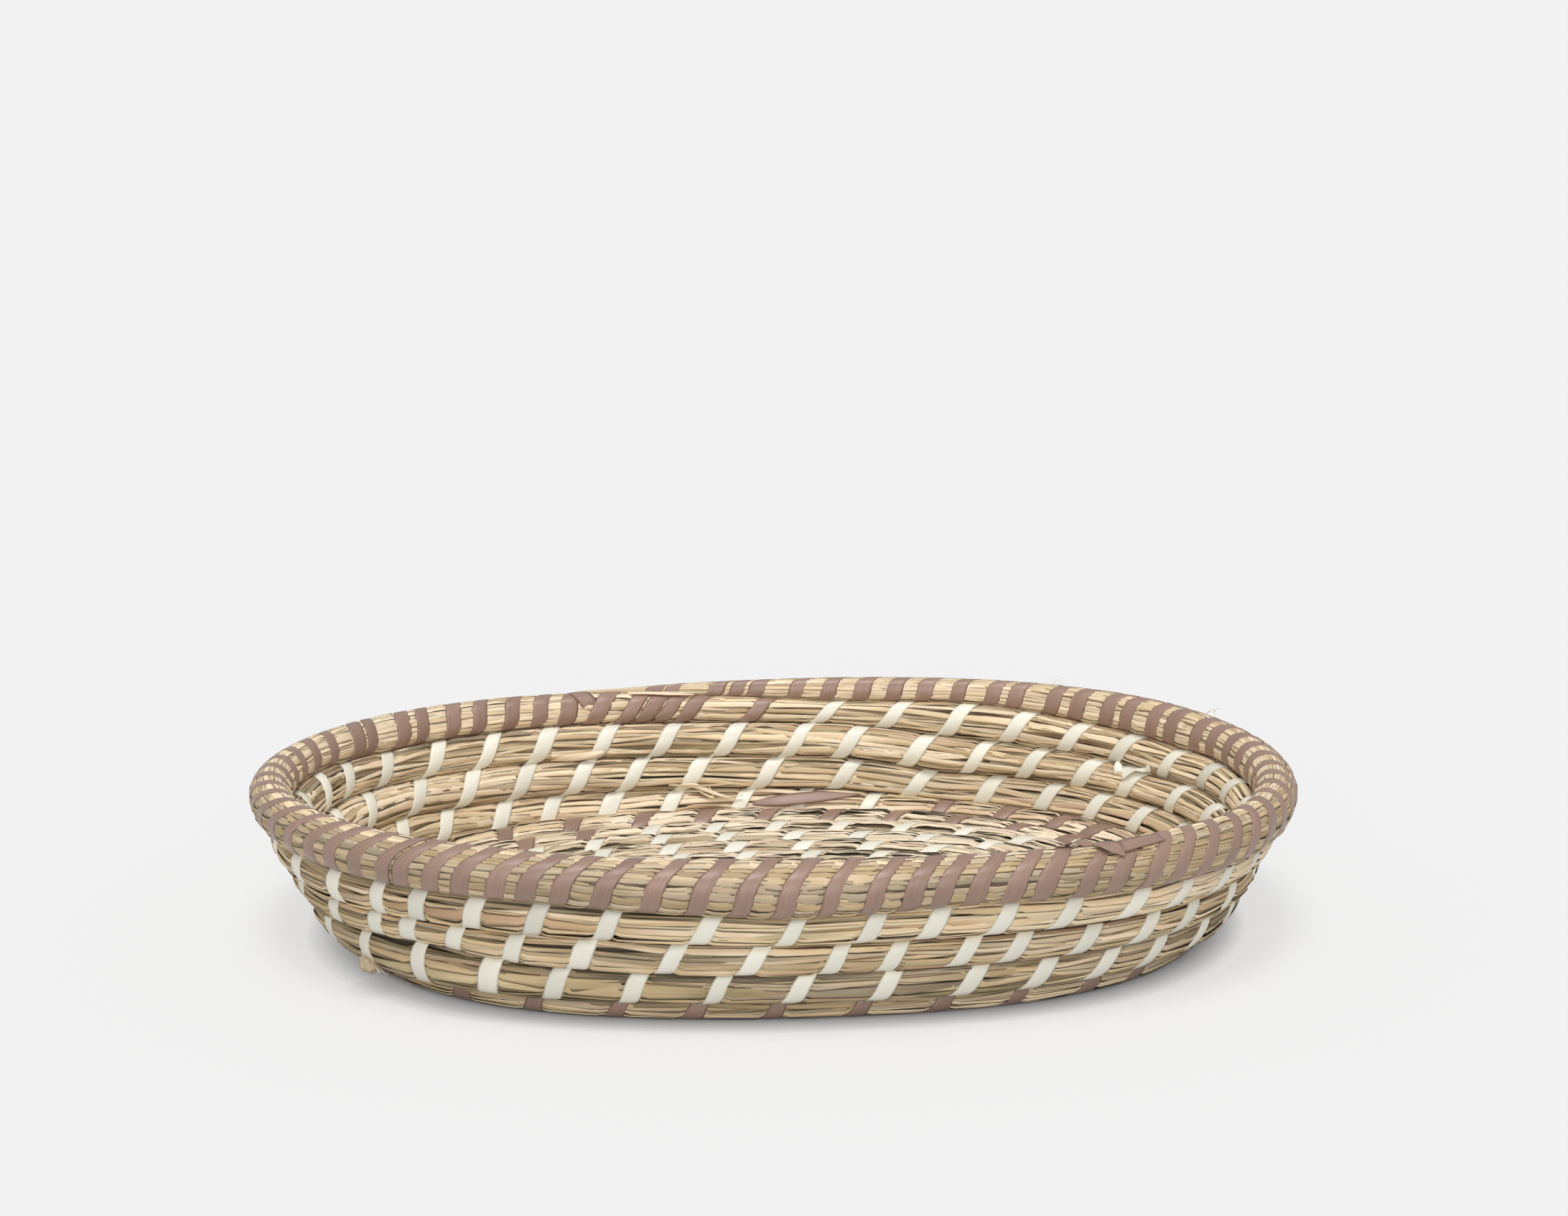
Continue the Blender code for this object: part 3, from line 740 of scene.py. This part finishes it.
# How far a leaf's tones move its colour and light. They reach the material as red, green, blue and alpha
hue_reach = 0.19
blotch_share = 0.45
painted_highlight_paler_reach, paler_start, pale_and_painted_light_share = 0.12, 0.05, 0.35
light_reach, light_middle, streak_share = 0.2, 0.96, 0.95
painted_edge_shade_slope, painted_edge_shade_start = -5.5, 3.0
least_light, most_light = 0.12, 1.14
grass, tone, tones, side, lines = leaf_finish("dried_grass_leaves", along_scale=28, across_scale=6)
tree = grass.node_tree
blotch = number(tree, "SUBTRACT", lines.outputs["Blotch"], 0.5)
blotch = number(tree, "MULTIPLY", blotch, blotch_share)
hue = number(tree, "ADD", number(tree, "MULTIPLY_ADD", tones.outputs[0], hue_reach, 0.5), blotch)
colour = ramp(tree, hue, (
    (0.0, (0.50, 0.40, 0.19)),
    (0.2, (0.78, 0.63, 0.36)),
    (0.42, (0.88, 0.65, 0.37)),
    (0.58, (0.96, 0.78, 0.54)),
    (0.78, (0.75, 0.50, 0.27)),
    (0.93, (0.74, 0.50, 0.34)),
))
# Alpha makes the colour paler: painted light on the grass rows, a set paleness of their own on the loose
# leaves and the knot
pale_and_painted_light = number(tree, "MULTIPLY", tone.outputs["Alpha"], pale_and_painted_light_share)
# Lighter tones also make the colour paler: partly the leaves' own tone, partly painted highlight washing
# the colour out
paler_with_painted_highlight = number(tree, "MULTIPLY_ADD", tones.outputs[1], painted_highlight_paler_reach, paler_start)
paler_with_painted_highlight = number(tree, "ADD", paler_with_painted_highlight, pale_and_painted_light, clamp=True)
colour = blend(tree, "MIX", paler_with_painted_highlight, colour, (0.94, 0.86, 0.72))
streak = number(tree, "SUBTRACT", lines.outputs["Streak"], 0.5)
streak = number(tree, "MULTIPLY_ADD", streak, streak_share, 1)
light = number(tree, "MULTIPLY_ADD", tones.outputs[1], light_reach, light_middle)
light = number(tree, "MULTIPLY", light, streak)
# Painted shade: each leaf darker towards its edges, where it meets its neighbours
edge = number(tree, "MULTIPLY_ADD", side, painted_edge_shade_slope, painted_edge_shade_start, clamp=True)
light = number(tree, "MULTIPLY", light, edge)
light = number(tree, "MINIMUM", number(tree, "MAXIMUM", light, least_light), most_light)
leaf_shader(grass, colour, light, lines, rough_rise=0.3, least_rough=0.45, specular=0.22,
            relief=0.55, relief_depth=0.3 * mm)

grass_pieces = (
    ("grass_floor_middle", 0, 2, "floor_coil"),
    ("grass_floor_rows_3_4", 3, 4, "floor_coil"),
    ("grass_floor_row_5", 5, 5, "floor_coil"),
    ("grass_floor_row_6", 6, 6, "floor_coil"),
    ("grass_floor_row_7", 7, 7, "floor_coil"),
    ("grass_base_row", 8, 8, "wall_coil"),
    ("grass_wall_row_1", 9, 9, "wall_coil"),
    ("grass_wall_row_2", 10, 10, "wall_coil"),
    ("grass_wall_row_3", 11, 11, "wall_coil"),
    ("grass_rim_front", 12, 12, "rim_coil"),
    ("grass_rim_back", 12, 12, "rim_coil"),
)
for name, first_row, last_row, node in grass_pieces:
    own = node_index[(node_rows >= first_row) & (node_rows <= last_row)]
    first = own[0]
    last = own[-1] if last_row == rim_row else own[-1] + 1
    if name == "grass_rim_front":
        last = (first + last) // 2
    if name == "grass_rim_back":
        first = (first + last) // 2
    piece = leaf_mesh(name, first, last, grass)
    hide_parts(node)
    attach(piece, "root")

# The sewing strips. Flat, satin strips of split leaf, ivory on the floor and wall and dyed dusty mauve on
# the rim, the base row and the row inside it. Each wrap is pulled tight, so its edges cup over the grass.

strip_width = 6.9 * mm
rim_spare = 1.03
wrap_stations = 20
wrap_start = math.radians(-100)
wrap_end = math.radians(280)
strip_across = np.array([-1, -0.72, 0.72, 1, 0.9, -0.9])
strip_lift = np.array([-0.12, 0.14, 0.14, -0.12, -0.6, -0.6]) * mm
strip_floor = np.array([0.06, 0.06, 0.06, 0.06, 0.5, 0.5]) * mm
strip_v = np.array([0, 0.14, 0.86, 1, 0.95, 0.05])
strip_apart = 0.05
thin_allowance = 0.2
most_size = 1.1
pulled_in = 0.16
pulled_in_power = 6
strip_lean_spread = 0.5 * mm
strip_width_spread = 0.06
strip_tilt_spread = 0.10 * mm
crowded = 9 * mm
crowded_tilt = 0.28 * mm
mauve_until = 430
mauve_again = 446.5
strip_seed = 17
strip_random = np.random.default_rng(strip_seed)
stitch_index = np.arange(len(stitch_runs))
stitch_angles = np.interp(stitch_runs, along, degrees_of)


def wrap_bands(chosen):
    """The wraps of these stitches, each a closed band round the bundle."""
    bands = []
    for stitch in chosen:
        row = stitch_rows[stitch]
        outside, inside, bend = lean_of(row, stitch_angles[stitch])
        outside = outside + strip_random.normal(0, strip_lean_spread)
        turn = np.linspace(wrap_start, wrap_end, wrap_stations)[:, None]
        width = strip_width * (1 + strip_random.normal(0, strip_width_spread))
        spare = rim_spare if row == rim_row else 1.0
        narrowed = 1 - pulled_in * np.abs(np.sin(turn)) ** pulled_in_power
        run = stitch_runs[stitch] + leaning(turn, outside, inside, bend)
        run = run + strip_across * width * spare * narrowed / 2
        size = np.interp(run, fine, bundle_size) / bundle_radius
        tilt = strip_random.normal(0, strip_tilt_spread)
        if stitch + 1 < len(stitch_runs) and stitch_runs[stitch + 1] - stitch_runs[stitch] < crowded:
            tilt = crowded_tilt
        off = (strip_lift + tilt * strip_across) * np.minimum(size + thin_allowance, most_size)
        points = on_bundle(run, turn + 0 * run, off)
        points[..., 2] = np.maximum(points[..., 2], strip_floor)
        u = np.broadcast_to(turn * bundle_radius + stitch * strip_apart, run.shape)
        v = np.broadcast_to(strip_v, run.shape)
        shade = strip_random.normal(0, 1)
        seed = strip_random.random()
        bands.append((points, u, v, (strip_random.normal(0, 1), shade, seed, 1.0)))
    return bands


def bands_piece(name, bands, finish, turned, end_uv):
    """A piece of closed six-sided bands, each with its rings of points, its UV values and its tone."""
    order = [0, 3, 2, 1] if turned else [0, 1, 2, 3]
    points, faces, corner_uv, tones = [], [], [], []
    count = 0
    for rings, u, v, tone in bands:
        index = count + np.arange(u.size).reshape(u.shape)
        first, last = index[0].tolist(), index[-1].tolist()
        faces += ring_corners(index)[..., order].reshape(-1, 4).tolist()
        faces += [first[::-1], last] if turned else [first, last[::-1]]
        uv = np.stack([ring_corners(u)[..., order], ring_corners(v)[..., order]], axis=-1)
        corner_uv += [uv.reshape(-1, 2), np.full((2 * u.shape[1], 2), end_uv)]
        points.append(rings.reshape(-1, 3))
        tones.append(np.tile(tone, (u.size, 1)))
        count += u.size
    points, corner_uv, tones = [np.concatenate(parts) for parts in (points, corner_uv, tones)]
    return leaf_piece(name, points, faces, corner_uv, tones, finish)


def strip_finish(name, light_colour, dark_colour, painted_edge_shade_colour, along_scale, across_scale, spread):
    """Satin split leaf with fine lengthwise lines, and darker edges that are painted shade."""
    finish, tone, tones, side, lines = leaf_finish(name, along_scale, across_scale)
    tree = finish.node_tree
    stops = ((0.5 - spread, dark_colour), (0.5 + spread, light_colour))
    colour = ramp(tree, lines.outputs["Streak"], stops)
    edge = number(tree, "MULTIPLY_ADD", side, 9.0, -3.6, clamp=True)
    colour = blend(tree, "MIX", number(tree, "MULTIPLY", edge, 0.6), colour, painted_edge_shade_colour)
    light = number(tree, "MULTIPLY_ADD", tones.outputs[1], 0.045, 1)
    leaf_shader(finish, colour, light, lines, rough_rise=0.2, least_rough=0.26, specular=0.7,
                relief=0.35, relief_depth=0.2 * mm)
    return finish


# The third colour is painted shade, darkening each strip's edges where it meets the grass
cream = strip_finish(
    "ivory_split_leaf", (0.95, 0.94, 0.85), (0.90, 0.86, 0.70), (0.62, 0.52, 0.34),
    along_scale=40, across_scale=22, spread=0.22)
mauve = strip_finish(
    "mauve_split_leaf", (0.41, 0.265, 0.2), (0.28, 0.172, 0.13), (0.165, 0.092, 0.07),
    along_scale=90, across_scale=34, spread=0.16)

base_tail = (stitch_rows == floor_rows) & (stitch_angles > mauve_until)
rim_start = (stitch_rows == rim_row - 1) & (stitch_angles > mauve_again)
strip_pieces = (
    ("ivory_strips_floor", stitch_rows < 7, cream, ("floor_strip_1", "floor_strip_2", "floor_strip_3")),
    ("mauve_strips_floor_edge", stitch_rows == 7, mauve, ("floor_strip_mauve",)),
    ("mauve_strips_base_row", (stitch_rows == 8) & ~base_tail, mauve, ("base_strip_mauve",)),
    ("ivory_strips_wall_row_1", (stitch_rows == 9) | base_tail, cream, ("wall_strip_1",)),
    ("ivory_strips_wall_row_2", stitch_rows == 10, cream, ("wall_strip_2",)),
    ("ivory_strips_wall_row_3", (stitch_rows == 11) & ~rim_start, cream, ("wall_strip_3",)),
    ("mauve_strips_rim", (stitch_rows == rim_row) | rim_start, mauve, ("rim_strip_mauve",)),
)
for name, chosen, finish, nodes_replaced in strip_pieces:
    piece = bands_piece(name, wrap_bands(stitch_index[chosen]), finish, turned=True, end_uv=0)
    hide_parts(*nodes_replaced)
    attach(piece, "root")

# The loose ends. Where a strip runs out its end is folded or tucked under the next wrap, and here and there
# a leaf has worked loose or broken off. Each is given by its places on the bundle: metres along it, degrees
# round it, millimetres over it, its width there in millimetres and its twist in degrees.

mauve_ends = (
    ((7.4262, 100, 0.3, 6.6, 0), (7.4240, 135, 0.6, 6.8, 0),
     (7.4218, 165, 0.5, 6.5, 0), (7.4212, 178, -0.4, 6, 0)),
    ((7.9640, 84, 0.2, 5.0, 0), (7.9700, 88, 0.7, 6.0, 0),
     (7.9780, 92, 0.7, 5.6, 0), (7.9860, 98, 0.1, 5.2, 0)),
    ((7.9590, 104, 0.8, 1.0, 0), (7.9625, 92, 1.5, 6.6, 10),
     (7.9660, 80, 1.6, 6.0, -8), (7.9680, 62, 0.9, 1.2, 0)),
    ((7.9460, 118, 0.3, 1.4, 0), (7.9510, 112, 1.4, 4.0, 35),
     (7.9560, 108, 1.4, 3.6, -30), (7.9610, 102, 0.3, 1.6, 0)),
    ((4.5470, 186, 0.3, 1.6, 0), (4.5360, 180, 0.9, 5.2, 8),
     (4.5200, 170, 0.9, 5.0, -6), (4.5050, 156, 0.5, 0.8, 0)),
)
ivory_ends = (
    ((6.2360, 160, 0.2, 6.0, 0), (6.2335, 140, 0.8, 6.4, 0),
     (6.2290, 124, 1.6, 4.6, 15), (7.1870, 215, 0.8, 2.4, 0)),
    ((6.2370, 158, 0.2, 5.0, 0), (6.2385, 138, 1.0, 3.8, -15), (6.2400, 120, 1.8, 1.2, 0)),
)
loose_leaves = (
    ((6.4700, 238, 0.1, 1.6, 0), (6.4620, 226, 0.9, 3.0, 20),
     (6.4540, 214, 1.5, 2.8, 40), (6.4490, 205, 1.9, 1.6, 60)),
    ((5.4820, 226, 0.2, 1.4, 0), (5.4760, 214, 1.2, 2.0, 25),
     (4.5580, 172, 1.6, 1.8, 40), (4.5510, 168, 2.2, 0.8, 60)),
    ((5.4860, 220, 0.2, 1.0, 0), (5.4730, 216, 1.8, 1.2, -20), (5.4600, 206, 2.6, 0.6, 0)),
    ((5.4700, 230, 0.2, 1.0, 0), (4.5620, 176, 1.4, 1.4, 10), (4.5680, 158, 2.4, 0.5, 0)),
    ((3.7500, 158, 0.2, 2.4, 0), (3.7420, 150, 1.6, 3.0, 30),
     (3.7330, 140, 2.0, 2.0, 10), (3.7250, 130, 1.0, 0.8, 0)),
    ((6.0600, 120, 0.2, 2.0, 0), (6.0700, 150, 0.9, 2.8, 10),
     (6.0850, 172, 1.1, 2.6, -10), (6.0950, 190, 0.2, 1.2, 0)),
    ((7.4060, 118, 0.1, 1.8, 0), (7.4000, 122, 0.8, 2.2, 5),
     (7.3900, 126, 1.2, 2.0, -5), (7.3800, 128, 1.3, 0.8, 0)),
    ((7.4000, 106, 0.1, 1.4, 0), (7.3920, 112, 0.9, 1.6, 0), (7.3780, 116, 1.5, 0.6, 0)),
    ((6.9000, 150, 0.1, 2.0, 0), (6.9080, 170, 0.9, 2.8, 15),
     (6.9200, 186, 0.8, 2.4, -10), (6.9300, 200, 0.1, 1.0, 0)),
)
stray_hairs = (
    ((8.2340, 88, 0, 0.35, 0), (8.2370, 90, 1.6, 0.35, 0),
     (8.2400, 92, 2.6, 0.25, 0), (8.2450, 90, 3.4, 0.15, 0)),
    ((8.2400, 84, 0, 0.35, 0), (8.2390, 86, 1.8, 0.30, 0), (8.2350, 88, 3.0, 0.15, 0)),
    ((8.1640, 88, 0, 0.35, 0), (8.1650, 92, 1.8, 0.35, 0),
     (8.1640, 94, 3.4, 0.25, 0), (8.1600, 92, 4.4, 0.15, 0)),
    ((8.1700, 86, 0, 0.30, 0), (8.1680, 88, 2.0, 0.30, 0), (8.1660, 90, 2.8, 0.15, 0)),
    ((4.8380, -14, 0.6, 0.6, 0), (4.8420, -8, 2.6, 0.6, 30),
     (4.8440, -14, 3.4, 0.5, 60), (4.8420, -22, 2.2, 0.4, 90)),
    ((4.8380, -22, 0.6, 0.6, 0), (4.8430, -16, 2.0, 0.6, 30),
     (4.8460, -22, 2.8, 0.4, 0), (4.8440, -30, 1.2, 0.4, 0)),
)
ribbon_across = np.array([-1, -0.5, 0.5, 1, 0.9, -0.9])
ribbon_lift = np.array([0, 0.12, 0.12, 0, -0.3, -0.3]) * mm
ribbon_v = np.array([0.1, 0.3, 0.7, 0.9, 0.9, 0.1])
ribbon_u = 5 * mm
ribbon_full = 2 * mm
ribbon_steps = 6
ribbon_easings = 4


def around(run, degrees):
    """The way straight out of the bundle's surface, at a distance along it and an angle round it."""
    side = math.cos(math.radians(degrees))
    rise = math.sin(math.radians(degrees))
    ways = [np.interp(run, fine, outward[:, axis]) * side + np.interp(run, fine, up_way[:, axis]) * rise
            for axis in range(3)]
    return unit(np.array(ways))


def between(share, values):
    """Rows of values at a share of the way through a table of them."""
    return np.stack([np.interp(share, range(len(values)), column) for column in zip(*values)], axis=1)


def loose_bands(ends):
    """Narrow closed bands, each along its own line of places."""
    bands = []
    for end in ends:
        ways = [around(run, turn) for run, turn, off, width, twist in end]
        spots = [on_bundle(np.array(node[0]), np.array(math.radians(node[1])), 0) + way * node[2] * mm
                 for node, way in zip(end, ways)]
        share = np.linspace(0, len(end) - 1, ribbon_steps * (len(end) - 1) + 1)
        places = between(share, spots)
        normals = between(share, ways)
        width = between(share, [[node[3] * mm] for node in end])
        twist = np.radians(between(share, [[node[4]] for node in end]))
        for _ in range(ribbon_easings):
            places[1:-1] = (places[:-2] + 2 * places[1:-1] + places[2:]) / 4
            normals[1:-1] = (normals[:-2] + 2 * normals[1:-1] + normals[2:]) / 4
        forward = unit(np.gradient(places, axis=0))
        sideways = unit(np.cross(forward, normals))
        outer = np.cross(sideways, forward)
        wide = sideways * np.cos(twist) + outer * np.sin(twist)
        thick = outer * np.cos(twist) - sideways * np.sin(twist)
        across_here = ribbon_across[None, :, None] * width[:, None] / 2
        lift_here = ribbon_lift[None, :, None] * np.minimum(width[:, None] / ribbon_full, 1)
        points = places[:, None] + wide[:, None] * across_here + thick[:, None] * lift_here
        u = np.broadcast_to(share[:, None] * ribbon_u, points.shape[:2])
        v = np.broadcast_to(ribbon_v, points.shape[:2])
        bands.append((points, u, v, (strip_random.normal(0.2, 0.4), 0.3, strip_random.random(), 0.6)))
    return bands


for name, ends, finish, slot in (
    ("mauve_strip_ends", mauve_ends, mauve, "mauve_strip"),
    ("ivory_strip_ends", ivory_ends, cream, "cream_strip"),
    ("loose_grass_leaves", loose_leaves, grass, "dried_grass"),
    ("stray_hairs", stray_hairs, grass, "dried_grass"),
):
    piece = bands_piece(name, loose_bands(ends), finish, turned=False, end_uv=0.4)
    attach(piece, "root")

# The knot of fibre at the front left, where a strip ends on the base row: a crumpled ball of leaf.

knot_run = 4.834
knot_turn = -22
knot_off = 1.0 * mm
knot_size = (4.2 * mm, 3.2 * mm, 3.0 * mm)
crumple_size = 1.7 * mm
crumple_depth = 3.0 * mm
knot_place = on_bundle(np.array(knot_run), np.array(math.radians(knot_turn)), 0)
knot_place = knot_place + around(knot_run, knot_turn) * knot_off
bpy.ops.mesh.primitive_ico_sphere_add(subdivisions=4, radius=1)
knot = bpy.context.object
knot.name = "fibre_knot"
knot.scale = knot_size
bpy.ops.object.transform_apply(scale=True)
crumple = bpy.data.textures.new("crumple", "CLOUDS")
crumple.noise_scale = crumple_size
bumps = knot.modifiers.new("crumpled", "DISPLACE")
bumps.texture = crumple
bumps.strength = crumple_depth
bumps.mid_level = 0.5
bpy.ops.object.modifier_apply(modifier="crumpled")
knot.rotation_euler = (0, math.radians(14), math.radians(-52))
knot.location = knot_place
bpy.ops.object.transform_apply(location=True, rotation=True)
bpy.ops.object.shade_smooth_by_angle(angle=math.radians(50))
knot_tone = knot.data.color_attributes.new(name="tone", type="FLOAT_COLOR", domain="POINT")
knot_tone.data.foreach_set("color", np.tile((0.3, -1.4, 0.3, 0.2), len(knot.data.vertices)))
knot_uv = knot.data.uv_layers.active
knot_uv.name = "leaf"
corner_spots = np.array([knot.data.vertices[loop.vertex_index].co[:] for loop in knot.data.loops])
knot_v = 0.5 + (corner_spots[:, 0] - knot_place[0]) / (14 * mm)
knot_uv.data.foreach_set("uv", np.stack([corner_spots[:, 2] * 3, knot_v], axis=1).ravel())
knot.data.materials.append(grass)
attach(knot, "root")

# The studio: a pale floor that keeps the basket's soft shadow, with a painted contact shadow close round
# the basket, an even sky, a soft key light from above, a lower one from the front, and the camera at the
# photograph's place.

paper_white = (0.888, 0.888, 0.888, 1)
glow_share = 0.7
painted_contact_shadow_reach = 11 * mm
bpy.ops.mesh.primitive_plane_add(size=8, location=(0, 1, 0))
floor = bpy.context.object
floor.name = "studio_floor"
bpy.ops.object.transform_apply(location=True)
paper = bpy.data.materials.new("pale_paper")
paper.use_nodes = True
tree = paper.node_tree
shader = tree.nodes["Principled BSDF"]
shader.inputs["Base Color"].default_value = (0.89, 0.89, 0.89, 1)
shader.inputs["Roughness"].default_value = 1
shader.inputs["Specular IOR Level"].default_value = 0
glow = tree.nodes.new("ShaderNodeEmission")
glow.inputs["Color"].default_value = paper_white
# Painted contact shadow: the floor's glow dims by ambient occlusion close to the basket
painted_contact_shadow = tree.nodes.new("ShaderNodeAmbientOcclusion")
painted_contact_shadow.inputs["Distance"].default_value = painted_contact_shadow_reach
tree.links.new(painted_contact_shadow.outputs["AO"], glow.inputs["Strength"])
dim = tree.nodes.new("ShaderNodeBsdfDiffuse")
dim.inputs["Color"].default_value = (0.55, 0.55, 0.55, 1)
seen = tree.nodes.new("ShaderNodeMixShader")
seen.inputs[0].default_value = glow_share
tree.links.new(shader.outputs[0], seen.inputs[1])
tree.links.new(glow.outputs[0], seen.inputs[2])
rays = tree.nodes.new("ShaderNodeLightPath")
looked = number(tree, "ADD", rays.outputs["Is Camera Ray"], rays.outputs["Is Glossy Ray"])
looked = number(tree, "ADD", looked, rays.outputs["Is Transmission Ray"], clamp=True)
shown = tree.nodes.new("ShaderNodeMixShader")
tree.links.new(looked, shown.inputs[0])
tree.links.new(dim.outputs[0], shown.inputs[1])
tree.links.new(seen.outputs[0], shown.inputs[2])
tree.links.new(shown.outputs[0], tree.nodes["Material Output"].inputs["Surface"])
floor.data.materials.append(paper)

world = bpy.data.worlds.new("studio_sky")
world.use_nodes = True
sky = world.node_tree.nodes["Background"].inputs
sky["Color"].default_value = (1, 1, 1, 1)
sky["Strength"].default_value = 0.5
bpy.context.scene.world = world

for name, tilt, energy, width in (
    ("key_light", (15, -4, 0), 1.35, 20),
    ("front_light", (74, 0, -6), 1.0, 40),
):
    bpy.ops.object.light_add(type="SUN", rotation=[math.radians(value) for value in tilt])
    sun = bpy.context.object
    sun.name = name
    sun.data.energy = energy
    sun.data.angle = math.radians(width)

bpy.ops.object.camera_add(
    location=(-0.1105, -1.6260, 0.5492), rotation=(math.radians(75.256), 0, math.radians(-4)))
camera = bpy.context.object
camera.name = "photo_camera"
camera.data.lens = 107.14
camera.data.sensor_width = 36
camera.data.clip_end = 20
bpy.context.scene.camera = camera

bpy.context.scene.view_settings.view_transform = "Standard"
